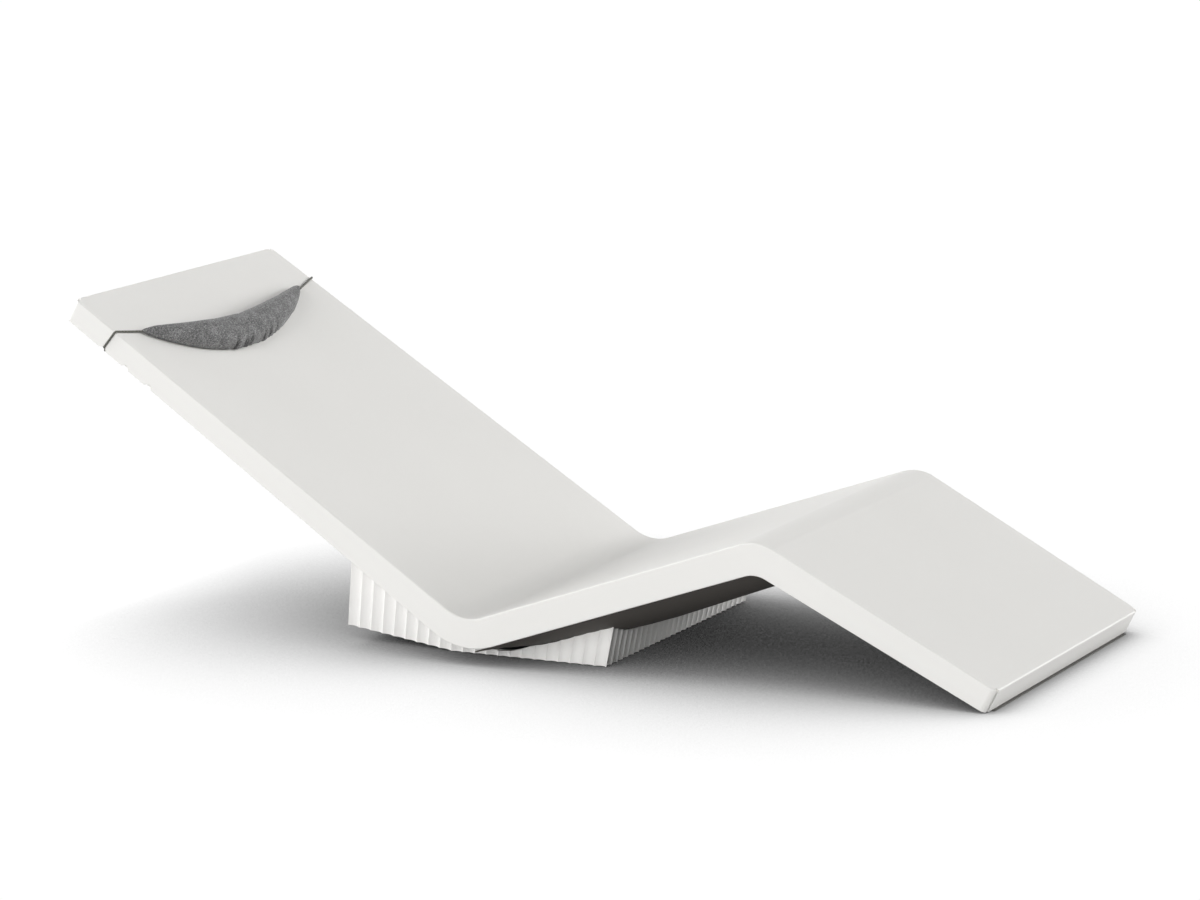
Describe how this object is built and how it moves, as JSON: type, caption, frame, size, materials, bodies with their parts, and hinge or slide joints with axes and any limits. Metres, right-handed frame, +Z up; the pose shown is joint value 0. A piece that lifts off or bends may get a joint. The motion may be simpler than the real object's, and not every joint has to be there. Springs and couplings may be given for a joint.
{
  "type": "spa relaxation lounger",
  "caption": "Low spa relaxation lounger: a bent, tapered white slab with raised back and knee bend on a fluted base, with a crescent head pillow on an elastic cord in side notches.",
  "frame": {"origin": "on the floor under the middle of the whole length, on the plane of symmetry", "axes": "+X from the head end towards the foot end, +Y across towards the user's left, +Z up"},
  "size_m": [1.8811, 0.7002, 0.623],
  "materials": {
    "slab_white": "satin white mineral-filled resin",
    "end_panel_white": "satin white mineral-filled resin",
    "base_white": "satin white mineral-filled resin",
    "frame_steel": "black powder coat",
    "plate_steel": "dark grey powder coat",
    "glide_plastic": "matt black nylon",
    "zinc_steel": "zinc plated",
    "strip_rubber": "matt black",
    "pillow_fabric": "grey melange weave",
    "cord_fabric": "dark grey braided elastic"
  },
  "bodies": {
    "lounger": {"deck_skin": "slab_white", "side_panel_right": "slab_white", "side_panel_left": "slab_white", "head_end_panel": "end_panel_white", "foot_end_panel": "end_panel_white", "back_underpan": "slab_white", "seat_underpan": "slab_white", "calf_underpan": "slab_white", "seat_belly": "slab_white", "calf_belly": "slab_white", "frame_rail_right": "frame_steel", "frame_rail_left": "frame_steel", "frame_crossbars": "frame_steel", "base_panel_right": "base_white", "base_panel_left": "base_white", "base_panel_front": "base_white", "base_panel_rear": "base_white", "base_floor_plate": "plate_steel", "base_bracket_right": "plate_steel", "base_bracket_left": "plate_steel", "base_web": "plate_steel", "base_glides": "glide_plastic", "glide_nuts": "zinc_steel", "bracket_bolts": "zinc_steel", "foot_strip": "strip_rubber"},
    "pillow": {"pillow": "pillow_fabric", "pillow_cord": "cord_fabric"}
  },
  "joints": [
    {"name": "pillow_position", "type": "slide", "parent": "lounger", "child": "pillow", "axis": [0.8377, 0, -0.5461], "range_m": [0, 0.12], "deforming": ["pillow_cord"]}
  ]
}
